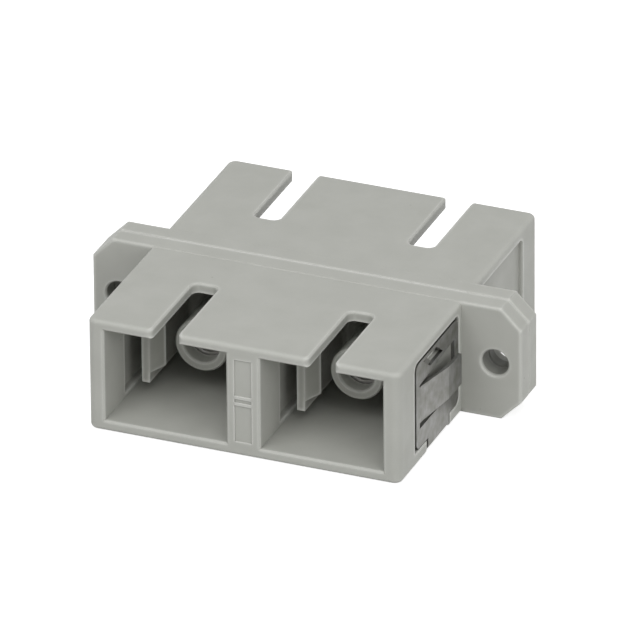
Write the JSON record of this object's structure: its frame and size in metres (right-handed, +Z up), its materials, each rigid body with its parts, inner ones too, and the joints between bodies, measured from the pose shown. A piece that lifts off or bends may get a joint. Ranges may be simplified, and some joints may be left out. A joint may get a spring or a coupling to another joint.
{
  "type": "sc duplex fibre adapter",
  "caption": "Panel adapter with side-by-side sockets at front and rear that line up push-pull fibre plugs end to end, with screw ears and a spring clip.",
  "frame": {"origin": "under the middle of the flange, on the surface that the body rests on", "axes": "+X to the right across the two ports, +Y from the front mouths to the rear mouths, +Z up, keyways on top"},
  "size_m": [0.0352, 0.0286, 0.0094],
  "materials": {
    "housing": "fine matt moulded",
    "holder": "satin moulded",
    "clip": "satin stamped stainless steel",
    "sleeve": "ground"
  },
  "bodies": {
    "root": {"front_housing": "housing", "rear_housing": "housing", "front_left_holder": "holder", "front_right_holder": "holder", "rear_left_holder": "holder", "rear_right_holder": "holder", "left_sleeve": "sleeve", "right_sleeve": "sleeve", "mounting_clip": "clip"}
  },
  "joints": []
}
